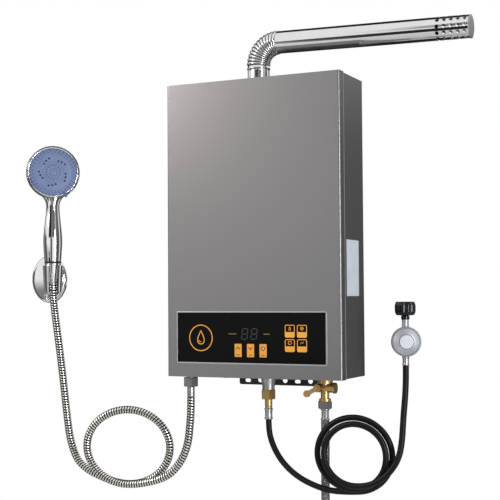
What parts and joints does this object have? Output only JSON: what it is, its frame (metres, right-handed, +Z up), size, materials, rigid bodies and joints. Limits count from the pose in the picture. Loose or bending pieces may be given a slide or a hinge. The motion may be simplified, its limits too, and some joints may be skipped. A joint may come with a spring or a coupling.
{
  "type": "portable gas water heater",
  "caption": "Wall-hung propane water heater with a grey casing, black glass panel, swivel flue, hand shower in a wall cup, gas hose with regulator and braided water hose.",
  "frame": {"origin": "middle of the row of upper wall screws, on the wall's face", "axes": "+Z up, +Y into the wall, +X to the right when facing the front; the front of the heater faces -Y"},
  "size_m": [1.025, 0.1294, 1.0779],
  "materials": {
    "case_grey": "satin",
    "strip_black": "satin",
    "screw_steel": "polished",
    "panel_glass": "gloss",
    "key_orange": "matte",
    "tile_orange": "gloss",
    "board_green": "matte",
    "part_black": "matte",
    "flue_chrome": "mirror",
    "sheet_zinc": "satin",
    "copper": "satin",
    "cast_alloy": "cast",
    "nut_steel": "polished",
    "brass": "polished",
    "ceramic_white": "glazed",
    "hose_black": "matte",
    "hose_spiral": "mirror",
    "hose_braid": "woven",
    "regulator_grey": "satin",
    "regulator_black": "gloss",
    "shower_chrome": "mirror",
    "spray_blue": "satin"
  },
  "bodies": {
    "heater": {"rear_case": "case_grey", "front_cover": "case_grey", "cover_screws": "screw_steel", "top_hanger": "strip_black", "bottom_bracket": "strip_black", "panel_bezel": "case_grey", "panel_glass": "panel_glass", "indicator_tiles": "tile_orange", "control_board": "board_green", "key_switches": "part_black", "display_module": "part_black", "flue_collar": "sheet_zinc", "exhaust_hood": "sheet_zinc", "fan_motor": "part_black", "heat_exchanger": "copper", "combustion_chamber": "sheet_zinc", "spark_electrodes": "ceramic_white", "burner_bank": "sheet_zinc", "gas_manifold": "cast_alloy", "ignition_module": "part_black", "flow_sensor": "part_black", "gas_valve": "cast_alloy", "gas_pipe": "copper", "cold_pipe": "copper", "hot_pipe": "copper", "hot_outlet_stub": "brass", "hot_nut": "nut_steel", "hot_hose_ferrule": "nut_steel", "gas_inlet_boss": "nut_steel", "gas_union_nut": "brass", "gas_tail": "brass", "gas_ferrule": "brass", "valve_body": "brass", "cold_nut": "nut_steel", "cold_ferrule": "nut_steel", "cold_end_nut": "nut_steel", "regulator_body": "regulator_grey", "regulator_cover": "regulator_grey", "regulator_neck": "regulator_black", "regulator_ferrule": "nut_steel", "holder_base": "shower_chrome", "holder_cradle": "shower_chrome", "shower_hose": "hose_spiral", "gas_hose": "hose_black", "cold_hose": "hose_braid"},
    "flue": {"flue_elbow": "flue_chrome", "flue_pipe": "flue_chrome", "flue_end_cap": "flue_chrome"},
    "handset": {"handset_body": "shower_chrome", "spray_face": "spray_blue", "handset_ring": "regulator_black", "hose_cone": "shower_chrome"},
    "selector": {"spray_selector": "shower_chrome"},
    "lever": {"valve_lever": "brass"},
    "coupling_nut": {"hand_nut": "regulator_black"},
    "impeller": {"fan_impeller": "cast_alloy"},
    "turbine": {"flow_turbine": "ceramic_white"},
    "up_key": {"key_up": "key_orange"},
    "down_key": {"key_down": "key_orange"},
    "power_key": {"key_power": "key_orange"}
  },
  "joints": [
    {"name": "flue_swivel", "type": "hinge", "parent": "heater", "child": "flue", "pos_m": [-0.0105, -0.065, 0], "axis": [0, 0, 1], "range_deg": [-185, 5]},
    {"name": "handset_lift", "type": "slide", "parent": "heater", "child": "handset", "axis": [0, 0, 1], "range_m": [0, 0.06]},
    {"name": "spray_select", "type": "hinge", "parent": "handset", "child": "selector", "pos_m": [-0.49696, -0.07538, -0.164], "axis": [0.6293, -0.7771, 0], "range_deg": [-60, 60]},
    {"name": "valve_turn", "type": "hinge", "parent": "heater", "child": "lever", "pos_m": [0.1162, -0.083, -0.611], "axis": [0, 1, 0], "range_deg": [-63, 27]},
    {"name": "coupling_spin", "type": "hinge", "parent": "heater", "child": "coupling_nut", "pos_m": [0.2958, -0.091, -0.459], "axis": [0, 0, 1], "continuous": true},
    {"name": "fan_spin", "type": "hinge", "parent": "heater", "child": "impeller", "pos_m": [-0.0105, -0.053, -0.0643], "axis": [0, 1, 0], "continuous": true},
    {"name": "turbine_spin", "type": "hinge", "parent": "heater", "child": "turbine", "pos_m": [0.1252, -0.065, -0.553], "axis": [0, 0, 1], "continuous": true},
    {"name": "up_press", "type": "slide", "parent": "heater", "child": "up_key", "axis": [0, 1, 0], "range_m": [0, 0.0006], "stiffness_N_per_m": 800, "springref_m": -0.0005},
    {"name": "down_press", "type": "slide", "parent": "heater", "child": "down_key", "axis": [0, 1, 0], "range_m": [0, 0.0006], "stiffness_N_per_m": 800, "springref_m": -0.0005},
    {"name": "power_press", "type": "slide", "parent": "heater", "child": "power_key", "axis": [0, 1, 0], "range_m": [0, 0.0006], "stiffness_N_per_m": 800, "springref_m": -0.0005}
  ]
}
